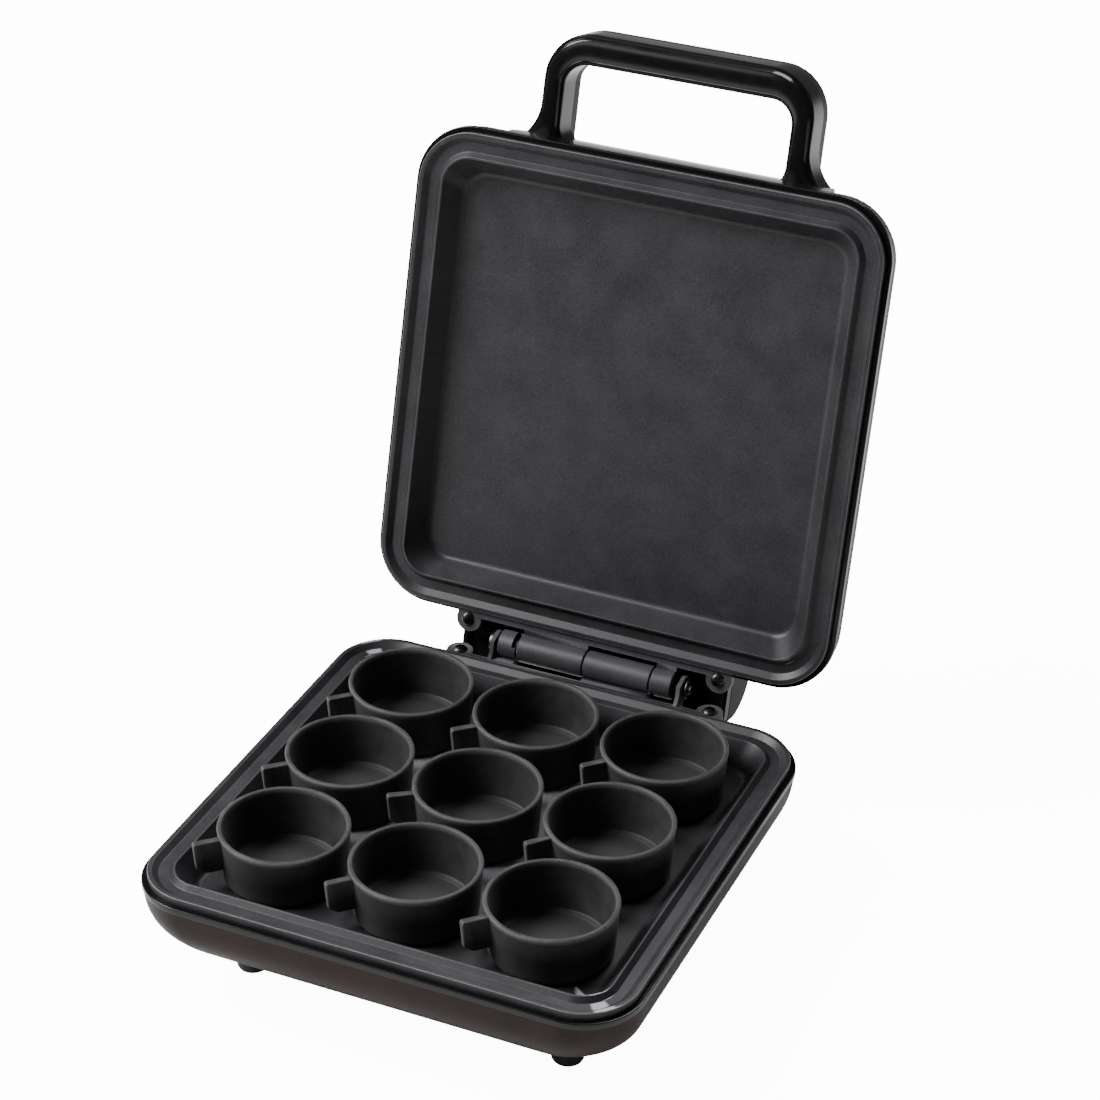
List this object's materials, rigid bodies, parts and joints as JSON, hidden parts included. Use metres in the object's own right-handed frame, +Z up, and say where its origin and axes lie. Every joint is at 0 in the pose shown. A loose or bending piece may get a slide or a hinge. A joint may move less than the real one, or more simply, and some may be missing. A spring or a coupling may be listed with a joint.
{
  "type": "nine-cup cake maker",
  "caption": "Square electric cake maker standing open, with a cast pan holding loose silicone cups, a hinged lid with its own pan, a loop handle and rubber feet.",
  "frame": {"origin": "centre of the open appliance's bounding box, on the surface that its feet stand on", "axes": "+Z up, +Y from the front of the base to the hinge and lid, +X to the right when facing the cups"},
  "size_m": [0.2394, 0.3662, 0.35],
  "materials": {
    "coated_cast_aluminium": "dark non-stick coating, fine satin speckle",
    "gloss_black_frame": "polished black moulding",
    "satin_brown_shell": "satin dark brown moulding",
    "heater_steel": "oxidised tube",
    "shield_steel": "rolled sheet",
    "shield_aluminium": "rolled sheet",
    "brown_phenolic": "moulded phenolic",
    "fuse_metal": "drawn can",
    "white_ceramic": "unglazed",
    "black_bush": "moulded",
    "lead_insulation": "extruded sleeve",
    "hinge_steel": "turned bar",
    "foot_rubber": "moulded",
    "screw_steel": "zinc plated",
    "cup_silicone": "moulded silicone with a fine dusty bloom",
    "lens_clear": "clear amber moulding",
    "lamp_glow": "small neon lamp"
  },
  "bodies": {
    "base": {"lower_plate": "coated_cast_aluminium", "lower_frame": "gloss_black_frame", "lower_shell": "satin_brown_shell", "lower_heater": "heater_steel", "lower_heat_shield": "shield_steel", "lower_thermostat": "brown_phenolic", "thermal_fuse": "fuse_metal", "terminal_block": "white_ceramic", "cable_gland": "black_bush", "base_leads": "lead_insulation", "hinge_pin": "hinge_steel", "pin_clip": "hinge_steel", "feet": "foot_rubber", "foot_screws": "screw_steel", "tub_screws": "screw_steel", "lower_plate_screws": "screw_steel", "lower_shield_screws": "screw_steel"},
    "lid": {"upper_plate": "coated_cast_aluminium", "upper_frame": "gloss_black_frame", "upper_shell": "satin_brown_shell", "upper_heater": "heater_steel", "upper_heat_shield": "shield_aluminium", "upper_thermostat": "brown_phenolic", "indicator_lenses": "lens_clear", "indicator_lamps": "lamp_glow", "upper_plate_screws": "screw_steel", "upper_shield_screws": "screw_steel", "handle_screws": "screw_steel"},
    "cup_front_left_body": {"cup_front_left": "cup_silicone"},
    "cup_front_middle_body": {"cup_front_middle": "cup_silicone"},
    "cup_front_right_body": {"cup_front_right": "cup_silicone"},
    "cup_middle_left_body": {"cup_middle_left": "cup_silicone"},
    "cup_centre_body": {"cup_centre": "cup_silicone"},
    "cup_middle_right_body": {"cup_middle_right": "cup_silicone"},
    "cup_rear_left_body": {"cup_rear_left": "cup_silicone"},
    "cup_rear_middle_body": {"cup_rear_middle": "cup_silicone"},
    "cup_rear_right_body": {"cup_rear_right": "cup_silicone"}
  },
  "joints": [
    {"name": "lid_hinge", "type": "hinge", "parent": "base", "child": "lid", "pos_m": [0, 0.06632, 0.0654], "axis": [1, 0, 0], "range_deg": [0, 104]},
    {"name": "cup_front_left_lift", "type": "slide", "parent": "base", "child": "cup_front_left_body", "axis": [0, 0, -1], "range_m": [-0.15, 0]},
    {"name": "cup_front_middle_lift", "type": "slide", "parent": "base", "child": "cup_front_middle_body", "axis": [0, 0, -1], "range_m": [-0.15, 0]},
    {"name": "cup_front_right_lift", "type": "slide", "parent": "base", "child": "cup_front_right_body", "axis": [0, 0, -1], "range_m": [-0.15, 0]},
    {"name": "cup_middle_left_lift", "type": "slide", "parent": "base", "child": "cup_middle_left_body", "axis": [0, 0, -1], "range_m": [-0.15, 0]},
    {"name": "cup_centre_lift", "type": "slide", "parent": "base", "child": "cup_centre_body", "axis": [0, 0, -1], "range_m": [-0.15, 0]},
    {"name": "cup_middle_right_lift", "type": "slide", "parent": "base", "child": "cup_middle_right_body", "axis": [0, 0, -1], "range_m": [-0.15, 0]},
    {"name": "cup_rear_left_lift", "type": "slide", "parent": "base", "child": "cup_rear_left_body", "axis": [0, 0, -1], "range_m": [-0.15, 0]},
    {"name": "cup_rear_middle_lift", "type": "slide", "parent": "base", "child": "cup_rear_middle_body", "axis": [0, 0, -1], "range_m": [-0.15, 0]},
    {"name": "cup_rear_right_lift", "type": "slide", "parent": "base", "child": "cup_rear_right_body", "axis": [0, 0, -1], "range_m": [-0.15, 0]}
  ]
}
